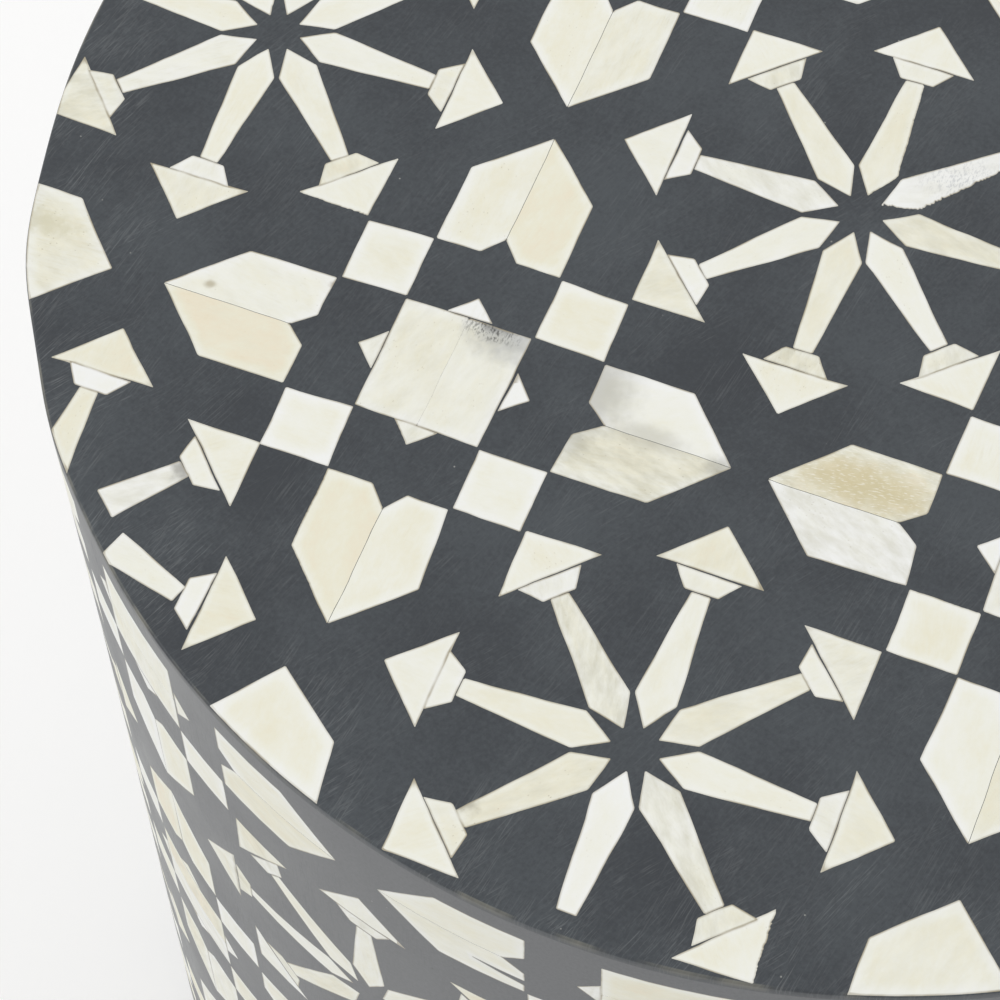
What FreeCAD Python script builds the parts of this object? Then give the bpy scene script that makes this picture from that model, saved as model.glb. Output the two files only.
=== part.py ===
import FreeCAD, Part
import math
import os
import re
import Sketcher

# A straight drum side table: a coopered wooden carcass under a resin skin,
# with pale bone pieces let into the skin in a star and square lattice.

doc = FreeCAD.newDocument("DrumTable")
sheet = doc.addObject("Spreadsheet::Sheet", "Sizes")

# The distance between two stars, as a share of the table's width
PITCH_share = 0.3875

# Driving sizes in millimetres, and counts
SIZES = (
    ("table_diameter", 400),
    ("table_height", 495),
    ("resin_thickness", 3),
    ("bone_thickness", 2),
    ("rim_ease", 1.2),
    ("rim_lip", 1.6),
    ("glue_line", 0.1),
    ("cut_overrun", 1),
    ("star_pitch", f"=table_diameter * {PITCH_share}"),
    ("stave_count", 16),
    ("stave_thickness", 14),
    ("top_board_thickness", 18),
    ("base_board_thickness", 15),
    ("batten_count", 4),
    ("batten_width", 30),
    ("batten_depth", 26),
    ("screw_length", 45),
    ("screw_diameter", 4),
    ("screw_head_diameter", 8),
    ("screw_head_height", 2.5),
    ("screw_play", 0.15),
    ("glide_count", 4),
    ("glide_height", 5),
    ("glide_diameter", 25),
    ("glide_inset", 24),
)

for row, (name, value) in enumerate(SIZES, start=1):
    sheet.set(f"A{row}", name)
    sheet.set(f"B{row}", str(value))
    sheet.setAlias(f"B{row}", name)
doc.recompute()

ALIASES = {name for name, value in SIZES}
AXIS = "0"
SHARP_CORNERS = 2

# Sizes that follow from the driving ones
TOP_RADIUS = "(table_diameter / 2)"
CARCASS_RADIUS = "(table_diameter / 2 - resin_thickness)"
INNER_RADIUS = "(table_diameter / 2 - resin_thickness - stave_thickness)"
BOARD_TOP = "(table_height - resin_thickness)"
BOARD_UNDERSIDE = f"({BOARD_TOP} - top_board_thickness)"
BASE_TOP = "(glide_height + base_board_thickness)"
BONE_FLOOR = "(table_height - bone_thickness)"
BONE_REACH = "(table_diameter / 2 - rim_lip)"
BATTEN_BACK = f"(sqrt(({INNER_RADIUS}) ^ 2 - (batten_width / 2) ^ 2) - glue_line)"
SCREW_CIRCLE = f"({BATTEN_BACK} - batten_depth / 2)"
SCREW_HOLE = "(screw_diameter / 2 + screw_play)"
SCREW_END = "(glide_height + screw_length)"
GLIDE_CIRCLE = f"({INNER_RADIUS} - glide_inset)"

# Bone outlines, as shares of the distance between two stars: along the ray, then across it
SPOKE_shares = ((0.0415, 0), (0.093, 0.0300), (0.2725, 0.0155))
COLLAR_shares = ((0.2725, 0.0270), (0.308, 0.0530))
ARROWHEAD_shares = ((0.308, 0.0855), (0.3935, 0))
RAYS_PER_STAR = 8

# The square motif stands midway between four stars
SQUARE_share = 0.1035
POINT_share = 0.1420
CORNER_SQUARE_shares = (0.1060, 0.2160)
SHIELD_WIDTH_share = 0.1035
SHIELD_BASE_share = 0.2190
SHIELD_SHOULDER_share = 0.362
SHIELD_TIP_share = 0.4630
NOTCH_WIDTH_share = 0.030
NOTCH_DEPTH_share = 0.034
SIDES_PER_SQUARE = 4
MIDWAY_share = 0.5

# A piece that the rim cuts is left out where less than this much of it would remain
LEAST_REST_share = 0.25


def size(text):
    """The value of a formula in the sheet's names."""
    return float(sheet.evalExpression(text))


def bound(text):
    """The same formula, as another object of the document has to write it."""
    return re.sub(r"[a-z]\w*", lambda word: f"Sizes.{word[0]}" if word[0] in ALIASES else word[0], text)


def origin_feature(body, role):
    """One of a body's own origin planes or axes."""
    return [feature for feature in body.Origin.OriginFeatures if feature.Role == role][0]


def new_body(label):
    body = doc.addObject("PartDesign::Body", label)
    body.Label = label
    body.AllowCompound = True
    return body


def tie(sketch, kind, corner, text):
    """Hold one corner of a sketch at a distance from its origin, on the side where it lies."""
    value = size(text)
    if text == AXIS:
        axis = -2 if kind == "DistanceX" else -1
        sketch.addConstraint(Sketcher.Constraint("PointOnObject", corner, 1, axis))
        return
    ends = (-1, 1, corner, 1) if value > 0 else (corner, 1, -1, 1)
    index = sketch.addConstraint(Sketcher.Constraint(kind, *ends, abs(value)))
    sketch.setExpression(f"Constraints[{index}]", bound(text if value > 0 else f"-({text})"))


def polygon_sketch(body, name, plane, corners, offsets=()):
    """A closed outline of straight lines whose corners follow the sheet."""
    sketch = body.newObject("Sketcher::SketchObject", name)
    sketch.AttachmentSupport = [(origin_feature(body, plane), "")]
    sketch.MapMode = "FlatFace"
    for direction, distance in offsets:
        sketch.setExpression(f".AttachmentOffset.Base.{direction}", bound(distance))
    places = [FreeCAD.Vector(size(across), size(up), 0) for across, up in corners]
    for index, place in enumerate(places):
        sketch.addGeometry(Part.LineSegment(place, places[(index + 1) % len(places)]))
    for index, (across, up) in enumerate(corners):
        following = (index + 1) % len(corners)
        sketch.addConstraint(Sketcher.Constraint("Coincident", index, 2, following, 1))
        tie(sketch, "DistanceX", index, across)
        tie(sketch, "DistanceY", index, up)
    return sketch


def turn(body, kind, name, corners, circle="0", angle="0"):
    """Turn an outline of radii and heights about an upright line, on a circle round the drum's axis."""
    offsets = (("x", f"{circle} * cos({angle})"), ("z", f"-{circle} * sin({angle})"))
    sketch = polygon_sketch(body, f"{name}_outline", "XZ_Plane", corners, offsets)
    feature = body.newObject(f"PartDesign::{kind}", name)
    feature.Profile = sketch
    feature.ReferenceAxis = (sketch, ["V_Axis"])
    body.Tip = feature
    return feature


def repeat_round(body, feature, count):
    """Repeat a feature evenly round the drum's axis."""
    doc.recompute()
    pattern = body.newObject("PartDesign::PolarPattern", f"{feature.Name}_round")
    pattern.Originals = [feature]
    pattern.Axis = (origin_feature(body, "Z_Axis"), [""])
    pattern.Angle = 360
    pattern.setExpression("Occurrences", bound(count))
    body.Tip = pattern
    return pattern


def stand_at(body, step, count):
    """Turn a finished piece to its place round the drum."""
    body.Placement.Rotation = FreeCAD.Rotation(FreeCAD.Vector(0, 0, 1), 0)
    body.setExpression("Placement.Rotation.Angle", bound(f"{step} * 360 / {count}"))


def bar_outline(radius, foot, top):
    """A plain round bar, seen from the side."""
    return ((AXIS, foot), (radius, foot), (radius, top), (AXIS, top))


def make_top_board():
    """A round board, glued down on the ends of the staves and battens."""
    body = new_body("top_board")
    turn(body, "Revolution", "top_board_turned", bar_outline(CARCASS_RADIUS, BOARD_UNDERSIDE, BOARD_TOP))
    return [body]


def make_staves():
    """Upright staves with bevelled edges, glued edge to edge and turned round."""
    staves = []
    for step in range(int(size("stave_count"))):
        body = new_body(f"wall_stave_{step + 1:02d}")
        stave = turn(body, "Revolution", f"stave_turned_{step + 1:02d}", (
            (INNER_RADIUS, "glide_height"),
            (CARCASS_RADIUS, "glide_height"),
            (CARCASS_RADIUS, BOARD_UNDERSIDE),
            (INNER_RADIUS, BOARD_UNDERSIDE),
        ))
        stave.setExpression("Angle", bound("360 / stave_count"))
        stand_at(body, step, "stave_count")
        staves.append(body)
    return staves


def make_base_board():
    """A round board inside the foot of the wall, with holes for the screws into the battens."""
    body = new_body("base_board")
    edge = f"{INNER_RADIUS} - glue_line"
    turn(body, "Revolution", "base_board_turned", bar_outline(edge, "glide_height", BASE_TOP))
    outline = bar_outline(SCREW_HOLE, "glide_height - cut_overrun", f"{BASE_TOP} + cut_overrun")
    hole = turn(body, "Groove", "base_screw_hole", outline, SCREW_CIRCLE)
    repeat_round(body, hole, "batten_count")
    return [body]


def make_battens():
    """Square battens that stand behind the staves and take the screws of the base board."""
    battens = []
    front = f"({BATTEN_BACK} - batten_depth)"
    for step in range(int(size("batten_count"))):
        body = new_body(f"batten_{step + 1}")
        sketch = polygon_sketch(body, f"batten_section_{step + 1}", "XY_Plane", (
            (front, "-batten_width / 2"),
            (BATTEN_BACK, "-batten_width / 2"),
            (BATTEN_BACK, "batten_width / 2"),
            (front, "batten_width / 2"),
        ), (("z", BASE_TOP),))
        pad = body.newObject("PartDesign::Pad", f"batten_length_{step + 1}")
        pad.Profile = sketch
        pad.setExpression("Length", bound(f"{BOARD_UNDERSIDE} - {BASE_TOP}"))
        outline = bar_outline(SCREW_HOLE, f"{BASE_TOP} - cut_overrun", f"{SCREW_END} + screw_play")
        turn(body, "Groove", f"batten_pilot_{step + 1}", outline, SCREW_CIRCLE)
        stand_at(body, step, "batten_count")
        battens.append(body)
    return battens


def make_base_screws():
    """Pan head screws, one through the base board into each batten."""
    body = new_body("base_screws")
    head = "screw_head_diameter / 2"
    shank = "screw_diameter / 2"
    screw = turn(body, "Revolution", "base_screw_turned", (
        (AXIS, "glide_height - screw_head_height"),
        (head, "glide_height - screw_head_height"),
        (head, "glide_height"),
        (shank, "glide_height"),
        (shank, SCREW_END),
        (AXIS, SCREW_END),
    ), SCREW_CIRCLE)
    repeat_round(body, screw, "batten_count")
    return [body]


def make_glides():
    """Round glides under the base board, midway between the screws."""
    body = new_body("glides")
    outline = bar_outline("glide_diameter / 2", "0", "glide_height")
    glide = turn(body, "Revolution", "glide_turned", outline, GLIDE_CIRCLE, "(180 / glide_count)")
    repeat_round(body, glide, "glide_count")
    return [body]


def make_wall_resin():
    """The resin sleeve round the staves, up to the underside of the top's own layer."""
    body = new_body("wall_resin")
    turn(body, "Revolution", "wall_resin_turned", (
        (CARCASS_RADIUS, "glide_height"),
        (TOP_RADIUS, "glide_height"),
        (TOP_RADIUS, BOARD_TOP),
        (CARCASS_RADIUS, BOARD_TOP),
    ))
    return [body]


def mirrored(shares):
    """Both sides of an outline that is even about its ray."""
    return tuple(shares) + tuple((along, -across) for along, across in reversed(shares) if across)


def square_outlines():
    """The pieces of the square motif, each with how many times it repeats round the middle."""
    half = (
        (0, SQUARE_share),
        (SQUARE_share, SQUARE_share),
        (SQUARE_share, -SQUARE_share),
        (0, -SQUARE_share),
    )
    point = mirrored(((SQUARE_share, POINT_share - SQUARE_share), (POINT_share, 0)))
    near, far = CORNER_SQUARE_shares
    corner = ((near, near), (far, near), (far, far), (near, far))
    return (
        ("square_halves", half, SIDES_PER_SQUARE // 2),
        ("square_points", point, SIDES_PER_SQUARE),
        ("corner_squares", corner, SIDES_PER_SQUARE),
    )


def shield_half_outline():
    """One half of a shield: from its notch round the shoulder to the tip."""
    return (
        (SHIELD_BASE_share + NOTCH_DEPTH_share, 0),
        (SHIELD_BASE_share, NOTCH_WIDTH_share),
        (SHIELD_BASE_share, SHIELD_WIDTH_share),
        (SHIELD_SHOULDER_share, SHIELD_WIDTH_share),
        (SHIELD_TIP_share, 0),
    )


def laid(outline, centre, angle):
    """An outline in shares of the pitch, laid on the floor of the bone layer as a flat face."""
    pitch = size("star_pitch")
    floor = size(BONE_FLOOR)
    across, along = centre
    corners = []
    for out, aside in outline:
        x = pitch * (across + out * math.cos(angle) - aside * math.sin(angle))
        y = pitch * (along + out * math.sin(angle) + aside * math.cos(angle))
        corners.append(FreeCAD.Vector(x, y, floor))
    return Part.Face(Part.makePolygon(corners + corners[:1]))


def rim_disc(inset="0"):
    """The part of the top that bone may cover, inside the lip of resin along the rim."""
    edge = Part.makeCircle(size(f"{BONE_REACH} - {inset}"), FreeCAD.Vector(0, 0, size(BONE_FLOOR)))
    return Part.Face(Part.Wire(edge))


def crosses_rim(face):
    reach = size(BONE_REACH)
    return any(math.hypot(corner.X, corner.Y) > reach for corner in face.Vertexes)


def set_in(outline, centre, angle):
    """A pocket's face and the smaller face of the bone in it, both cut by the rim where they cross it."""
    pocket = laid(outline, centre, angle)
    bone = pocket.makeOffset2D(-size("glue_line"), SHARP_CORNERS)
    if not crosses_rim(pocket):
        return [(pocket, bone)]
    rest = pocket.common(rim_disc())
    if rest.Area < LEAST_REST_share * pocket.Area:
        return []
    return [(rest.Faces[0], bone.common(rim_disc("glue_line")).Faces[0])]


def lattice_places(shift):
    """Star places for no shift, and square motif places for half a pitch, as shares of the pitch."""
    reach = math.ceil(size(f"{TOP_RADIUS} / star_pitch")) + 1
    steps = range(-reach, reach + 1)
    return [(column + shift, row + shift) for column in steps for row in steps]


def turns(count):
    """Angles evenly round a motif."""
    return [2 * math.pi * step / count for step in range(count)]


def top_pieces():
    """Every bone piece of the top, by kind, as pairs of its pocket's face and its own."""
    star = (
        ("star_spokes", mirrored(SPOKE_shares), RAYS_PER_STAR),
        ("star_collars", mirrored(COLLAR_shares), RAYS_PER_STAR),
        ("star_arrowheads", mirrored(ARROWHEAD_shares), RAYS_PER_STAR),
    )
    pieces = {"shield_halves": [], "rim_shields": []}
    for motif, shift in ((star, 0), (square_outlines(), MIDWAY_share)):
        for kind, outline, count in motif:
            pieces[kind] = []
            for centre in lattice_places(shift):
                for angle in turns(count):
                    pieces[kind] += set_in(outline, centre, angle)
    half = shield_half_outline()
    other_half = tuple((along, -across) for along, across in half)
    whole = mirrored(half)
    for centre in lattice_places(MIDWAY_share):
        for angle in turns(SIDES_PER_SQUARE):
            if crosses_rim(laid(whole, centre, angle)):
                pieces["rim_shields"] += set_in(whole, centre, angle)
            else:
                pieces["shield_halves"] += set_in(half, centre, angle) + set_in(other_half, centre, angle)
    return pieces


def raised(name, faces, height):
    """Flat faces drawn up into solids."""
    flat = doc.addObject("Part::Feature", f"{name}_outlines")
    flat.Shape = Part.makeCompound(faces)
    solid = doc.addObject("Part::Extrusion", name)
    solid.Base = flat
    solid.DirMode = "Custom"
    solid.Dir = FreeCAD.Vector(0, 0, 1)
    solid.Solid = True
    solid.setExpression("LengthFwd", bound(height))
    solid.Label = name
    return solid


def make_top_bones(pieces):
    """The bone pieces, one group for each kind, smaller than their pockets by the glue line."""
    return [raised(f"top_{kind}", [bone for pocket, bone in pairs], "bone_thickness")
            for kind, pairs in pieces.items()]


def make_top_resin(pieces):
    """The resin layer of the top, with an eased rim and a pocket for every bone piece."""
    body = new_body("top_resin_disc")
    turn(body, "Revolution", "top_resin_turned", (
        (AXIS, BOARD_TOP),
        (TOP_RADIUS, BOARD_TOP),
        (TOP_RADIUS, "table_height - rim_ease"),
        (f"{TOP_RADIUS} - rim_ease", "table_height"),
        (AXIS, "table_height"),
    ))
    outlines = [pocket for pairs in pieces.values() for pocket, bone in pairs]
    joined = outlines[0].multiFuse(outlines[1:]).removeSplitter()
    pockets = raised("top_pockets", joined.Faces, "bone_thickness + cut_overrun")
    resin = doc.addObject("Part::Cut", "top_resin")
    resin.Base = body
    resin.Tool = pockets
    resin.Label = "top_resin"
    return [resin]


def check_document():
    """Stop if any object failed to rebuild."""
    for thing in doc.Objects:
        if "Invalid" in thing.State or "Error" in thing.State:
            raise RuntimeError(f"{thing.Name} failed to rebuild: {thing.State}")


def write_pieces(pieces):
    """Write each piece to a file of its own, once all of them are sound."""
    for piece in pieces:
        if piece.Shape.isNull() or not piece.Shape.isValid():
            raise RuntimeError(f"{piece.Label} has no sound shape")
    os.makedirs("parts", exist_ok=True)
    for piece in pieces:
        piece.Shape.exportStep(f"parts/{piece.Label}.step")
        print(piece.Label, len(piece.Shape.Solids), "solids", round(piece.Shape.Volume), "mm3")


bone_pieces = top_pieces()
table = (
    make_top_board()
    + make_staves()
    + make_battens()
    + make_base_board()
    + make_base_screws()
    + make_glides()
    + make_wall_resin()
    + make_top_resin(bone_pieces)
    + make_top_bones(bone_pieces)
)
doc.recompute()
check_document()
write_pieces(table)
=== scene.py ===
import random
from math import atan2, ceil, copysign, cos, exp, floor, hypot, pi, radians, sin, sqrt

import bpy
from mathutils import Matrix, Vector, noise
from mathutils.geometry import delaunay_2d_cdt


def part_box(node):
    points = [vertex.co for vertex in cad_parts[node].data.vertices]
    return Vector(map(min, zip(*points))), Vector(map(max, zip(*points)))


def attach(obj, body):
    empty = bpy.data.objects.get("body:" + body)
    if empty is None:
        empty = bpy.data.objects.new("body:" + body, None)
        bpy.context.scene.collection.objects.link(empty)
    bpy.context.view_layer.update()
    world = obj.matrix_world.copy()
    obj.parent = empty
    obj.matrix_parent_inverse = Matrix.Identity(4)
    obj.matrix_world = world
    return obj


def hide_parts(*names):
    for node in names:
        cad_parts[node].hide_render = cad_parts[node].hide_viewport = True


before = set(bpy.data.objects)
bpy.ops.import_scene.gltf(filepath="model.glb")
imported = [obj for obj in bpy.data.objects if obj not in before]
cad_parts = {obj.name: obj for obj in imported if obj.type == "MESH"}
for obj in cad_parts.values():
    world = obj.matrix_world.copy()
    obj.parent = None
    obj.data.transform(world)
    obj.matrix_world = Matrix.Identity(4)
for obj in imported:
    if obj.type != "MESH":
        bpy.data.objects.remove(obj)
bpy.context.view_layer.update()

# Sizes taken from the frame, in millimetres
MM = 0.001
top_low, top_high = (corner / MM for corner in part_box("top_resin"))
wall_low, wall_high = (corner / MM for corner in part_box("wall_resin"))
bone_low, bone_high = (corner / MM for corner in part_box("top_star_spokes"))
RADIUS = top_high.x
HEIGHT = top_high.z
SKIN = top_high.z - top_low.z
BONE = bone_high.z - bone_low.z
WALL_FOOT = wall_low.z
WALL_HEAD = wall_high.z
GIRTH = 2 * pi * RADIUS

# The lattice of the top, and its repeats round and up the wall
STAR_PITCH = 0.775 * RADIUS
WALL_COLUMNS = 8
WALL_ROWS = 4
WALL_MARGIN = 0.125 * RADIUS
WALL_CLEARANCE = 0.03 * RADIUS
COLUMN_PITCH = GIRTH / WALL_COLUMNS
ROW_PITCH = (HEIGHT - WALL_FOOT - 2 * WALL_MARGIN) / (WALL_ROWS - 1)
FIRST_SQUARE_COLUMN = radians(7.6)
FIRST_STAR_COLUMN = radians(30.1)

# Bone outlines, as shares of the distance between two stars: along the ray, then across it
SPOKE = ((0.0355, 0), (0.0865, 0.0328), (0.2725, 0.0155))
COLLAR = ((0.2725, 0.0270), (0.308, 0.0530))
ARROWHEAD = ((0.308, 0.0855), (0.3935, 0))
SQUARE = 0.1035
POINT = 0.1420
CORNER_SQUARE = (0.1060, 0.2160)
SHIELD_WIDTH = 0.1035
SHIELD_BASE = 0.2190
SHIELD_SHOULDER = 0.362
SHIELD_TIP = 0.4630
NOTCH_WIDTH = 0.030
NOTCH_DEPTH = 0.034
SPLIT_DEPTH = 0.085

# Shares: a point's base of its square's, a split's place and lean, and the least that the rim may leave
POINT_BASE = 0.37
SPLIT_SPAN = (0.40, 0.62)
SPLIT_LEAN = 0.9
LEAST_REST = 0.25

# Split shield halves of the wall, by column, row, turn and side
SPLIT_SHIELDS = ((6, 0, 2, 1), (2, 1, 0, -1), (4, 2, 1, 1))

# Hand sawing, in millimetres: how far corners stray and edges wave, over what length and in what steps
noise.seed_set(11)
STRAY = 0.26
STRAY_LENGTH = 9.0
WAVE = 0.05
WAVE_LENGTH = 2.3
WAVE_STEP = 3.0

# Hand laying: how far pieces are shifted, in millimetres, and turned, in radians
LOOSE = {
    "star_spokes": (0.06, 0.006),
    "star_collars": (0.08, 0.010),
    "star_arrowheads": (0.16, 0.022),
    "corner_squares": (0.25, 0.012),
    "square_points": (0.25, 0.030),
}

# Wear: what a corner loses, at most a share of its edge, and how fine chips are and where they begin
BLUNT = (0.20, 0.40)
MOST_BLUNT = 0.3
CHIP_LENGTH = 1.5
CHIP_STEP = 0.4
CHIP_START = 0.5
CHIP_NOISE = (0.6, 2.0, 3)

# Seams, in millimetres: half their width, how near edges share one, and how far that is looked for
SEAM = 0.06
FINE_SEAM = 0.015
SEAM_REACH = 0.3
SEAM_SEARCH = 1.5

# Bands inside a piece's border, in millimetres, that its material shades
EDGE_BAND = 0.55
NARROW_BAND = 1.8
BROAD_BAND = 3.4

# How bone pieces differ: mean and spread of tone, greyness, pores and the grain's turn, spans of streaks,
# chips and places in the grain, and the shares of pieces with chips and of squares sawn across the grain
TONE = (0.40, 0.15)
MOST_TONE = 0.72
GREY = (0.12, 0.18)
PORES = (0.15, 0.30)
GRAIN_TURN = (0.0, 0.12)
STREAKS = (0.0, 0.55)
CHIPS = (0.1, 0.25)
CHIPPED_SHARE = 0.08
CROSS_SHARE = 0.5
GRAIN_SEEDS = (0.0, 900.0)
GRAIN_STRIDE = (7, 3)

# What collars add to the greyness, what the wall's pieces add to it as painted shade, and what stars add to
# the tone
COLLAR_GREY = 0.25
WALL_PAINTED_SHADE = 0.15
STAR_WARMTH = 0.14

# Where the hand-laid top drifts off its lattice: the place in pitches and the drift in millimetres
DRIFT = (
    ((0, 0), (-0.4, 2.3)), ((-1, 0), (0.6, 1.4)), ((0, -1), (-0.2, 2.8)),
    ((-1, -1), (2.1, 1.7)), ((-0.5, -0.5), (0.0, 1.3)), ((-0.16, -0.5), (1.5, 1.2)),
    ((-0.5, -0.16), (0.0, 2.2)), ((-0.84, -0.5), (0.1, 0.3)), ((-0.5, -0.84), (1.3, 1.1)),
    ((0.16, -0.5), (-2.6, 1.5)), ((0.5, -0.84), (-2.2, 2.3)), ((0.34, -0.66), (-0.7, 2.7)),
    ((-0.34, -0.66), (-0.8, 0.8)), ((-0.5, 0.16), (-0.8, 0.0)), ((-0.5, -1.16), (0.1, -0.8)),
    ((0.5, -1.16), (1.1, 0.7)), ((-1.16, -0.5), (-1.4, -0.5)),
)
DRIFT_FADE = 0.45
DRIFT_CORE = 0.0004

# The rim, in millimetres: its round, how near it bone runs, how near it a piece counts as cut, its rings, and
# how far in and down it is worn
RIM_ROUND = 0.7
RIM_LIP = 0.22
CUT_LIP = 1.6
RIM_RINGS = (0.7, 0.5, 0.33, 0.1, 0.0)
WORN_IN = RIM_ROUND * 0.8
WORN_DOWN = RIM_ROUND * 1.05

# Where the skin is out of round: direction and spread in degrees, the most, and how far down it fades
OUT_OF_ROUND = ((204.0, 6.0, 1.9), (218.0, 5.0, 0.8))
SWELL_FADE = 160.0

# Meshes: facets, steps to a cut, the flat ring that the wall is bent into and its slack, tiles that sort
# pieces, how near points merge, the limit of an inset corner, a bone back's share of its face, and the angle
# of a sharp edge
RIM_STEPS = 360
WALL_STEPS = 180
CUT_HALVINGS = 40
RING_START = 2.2 * RADIUS
RING_SLACK = 0.5
RING_TOUCH = 0.01
TILE = 12.0
MERGE = 0.002
SHARPEST = 0.2
BACK_SHARE = 0.985
SHARP_ANGLE = radians(30)

# Studio: the camera in radii from the middle of the top, and the floor and lamps in metres
CAMERA_STAND = (0.531688, -2.354347, 3.492742)
CAMERA_TARGET = (-0.259793, -0.519328, 0)
CAMERA_ROLL = radians(-1.64907)
LENS = 125.12
SENSOR = 36.0
FLOOR_SIZE = 24.0
FLOOR_DROP = 0.0001
FLOOR_LIFT = 0.41
SEEN_WORLD = (1, 1, 1, 1), 1.0
SOFT_WORLD = (1.0, 0.995, 0.985, 1), 0.81
LAMPS = (
    ("softbox left", (-2.2, -0.6, 2.6), 2.4, 18),
    ("softbox back", (1.2, 2.4, 2.2), 2.2, 9),
)


def srgb(*levels):
    """A colour named by its screen values, as the shaders need it."""
    shares = (level / 255 for level in levels)
    return *(s / 12.92 if s <= 0.04045 else ((s + 0.055) / 1.055) ** 2.4 for s in shares), 1.0


# Colours of bone by tone, and of marks on bone and resin
BONE_TONES = (
    (0.0, srgb(244, 245, 243)), (0.35, srgb(240, 240, 229)), (0.60, srgb(236, 233, 213)),
    (0.80, srgb(236, 227, 204)), (1.0, srgb(223, 213, 180)),
)
GREY_BONE = srgb(202, 200, 182)
STREAKED_BONE = srgb(198, 188, 152)
OPEN_PORE = srgb(140, 126, 100)
PALE_FLECK = srgb(243, 240, 228)
# Darker border of bone pieces: partly the brown of a sawn edge, partly painted shade along the border
SAWN_EDGE_AND_SHADE = srgb(150, 138, 110)
SCRATCH = srgb(172, 175, 176)
DUST = srgb(190, 190, 184)
PIT = srgb(34, 36, 38)
WORN_RIM = srgb(132, 130, 118)

# The two colours that each plain material mixes
TOP_RESIN = srgb(42, 47, 53), srgb(62, 68, 73)
# The wall's resin is the top's resin painted paler: painted light on the upright wall
WALL_RESIN_PAINTED_LIGHT = srgb(76, 79, 82), srgb(93, 95, 98)
STAVE_WOOD = srgb(206, 172, 128), srgb(172, 132, 88)
BOARD_WOOD = srgb(196, 166, 126), srgb(166, 134, 96)
STEEL = srgb(150, 150, 152), srgb(186, 186, 188)
NYLON = srgb(46, 46, 48), srgb(64, 64, 66)
FLOOR = srgb(246, 246, 246), srgb(248, 248, 248)
SEEN_FLOOR = srgb(202, 202, 202)

# Relief of the materials, in metres
BONE_RELIEF = 0.00002
RESIN_RELIEF = 0.000006
WOOD_RELIEF = 0.0001
NYLON_RELIEF = 0.00005

# Stains on the bone of the top: middle and reach in millimetres, colour, strength, how ragged, and whether
# broken up into open pores
SMUDGES = (
    ((-67.0, -61.0), (14.0, 11.5), srgb(164, 166, 166), 0.62, 0.6),
    ((-71.0, -59.6), (8.0, 3.2), srgb(84, 83, 80), 0.55, 0.7),
    ((-71.0, -60.5), (9.5, 5.6), srgb(44, 43, 41), 0.85, 0.8, True),
    ((-43.0, -68.0), (15.0, 17.0), srgb(176, 175, 165), 0.66, 0.35),
    ((-26.0, -75.5), (13.0, 5.0), srgb(184, 182, 170), 0.50, 0.4),
    ((-42.0, -83.0), (6.0, 6.0), srgb(160, 158, 142), 0.40, 0.6),
    ((-7.0, -77.0), (7.0, 4.0), srgb(150, 148, 136), 0.50, 0.6),
    ((-139.2, -73.8), (2.1, 1.6), srgb(168, 156, 126), 0.65, 0.7),
    ((-110.6, -63.0), (2.2, 2.0), srgb(128, 104, 74), 0.70, 0.9),
    ((26.0, -69.5), (25.0, 9.0), srgb(205, 192, 148), 0.75, 0.6),
    ((21.0, 20.0), (16.0, 11.0), srgb(170, 174, 180), 0.45, 0.6, True),
    ((-31.5, -178.5), (6.0, 3.4), srgb(140, 133, 112), 0.55, 1.0),
    ((-124.0, -122.6), (4.5, 5.0), srgb(104, 101, 94), 0.60, 1.0),
    ((-185.0, -72.0), (13.0, 5.0), srgb(196, 190, 154), 0.50, 1.2),
)
SMUDGE_FALL = 40

# Sanding scratches: how far they turn from front-to-back, how fine and how short they are, and how sparse
SCRATCHES = (0.16, 4200, 130, 0.54), (0.36, 3800, 150, 0.54), (0.62, 4000, 170, 0.56)


def look(tone, streak, grey=0.0, **more):
    return dict(tone=tone, streak=streak, grey=grey, **more)


def shade(tone, grey):
    return dict(tone=tone, grey=grey)


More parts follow.
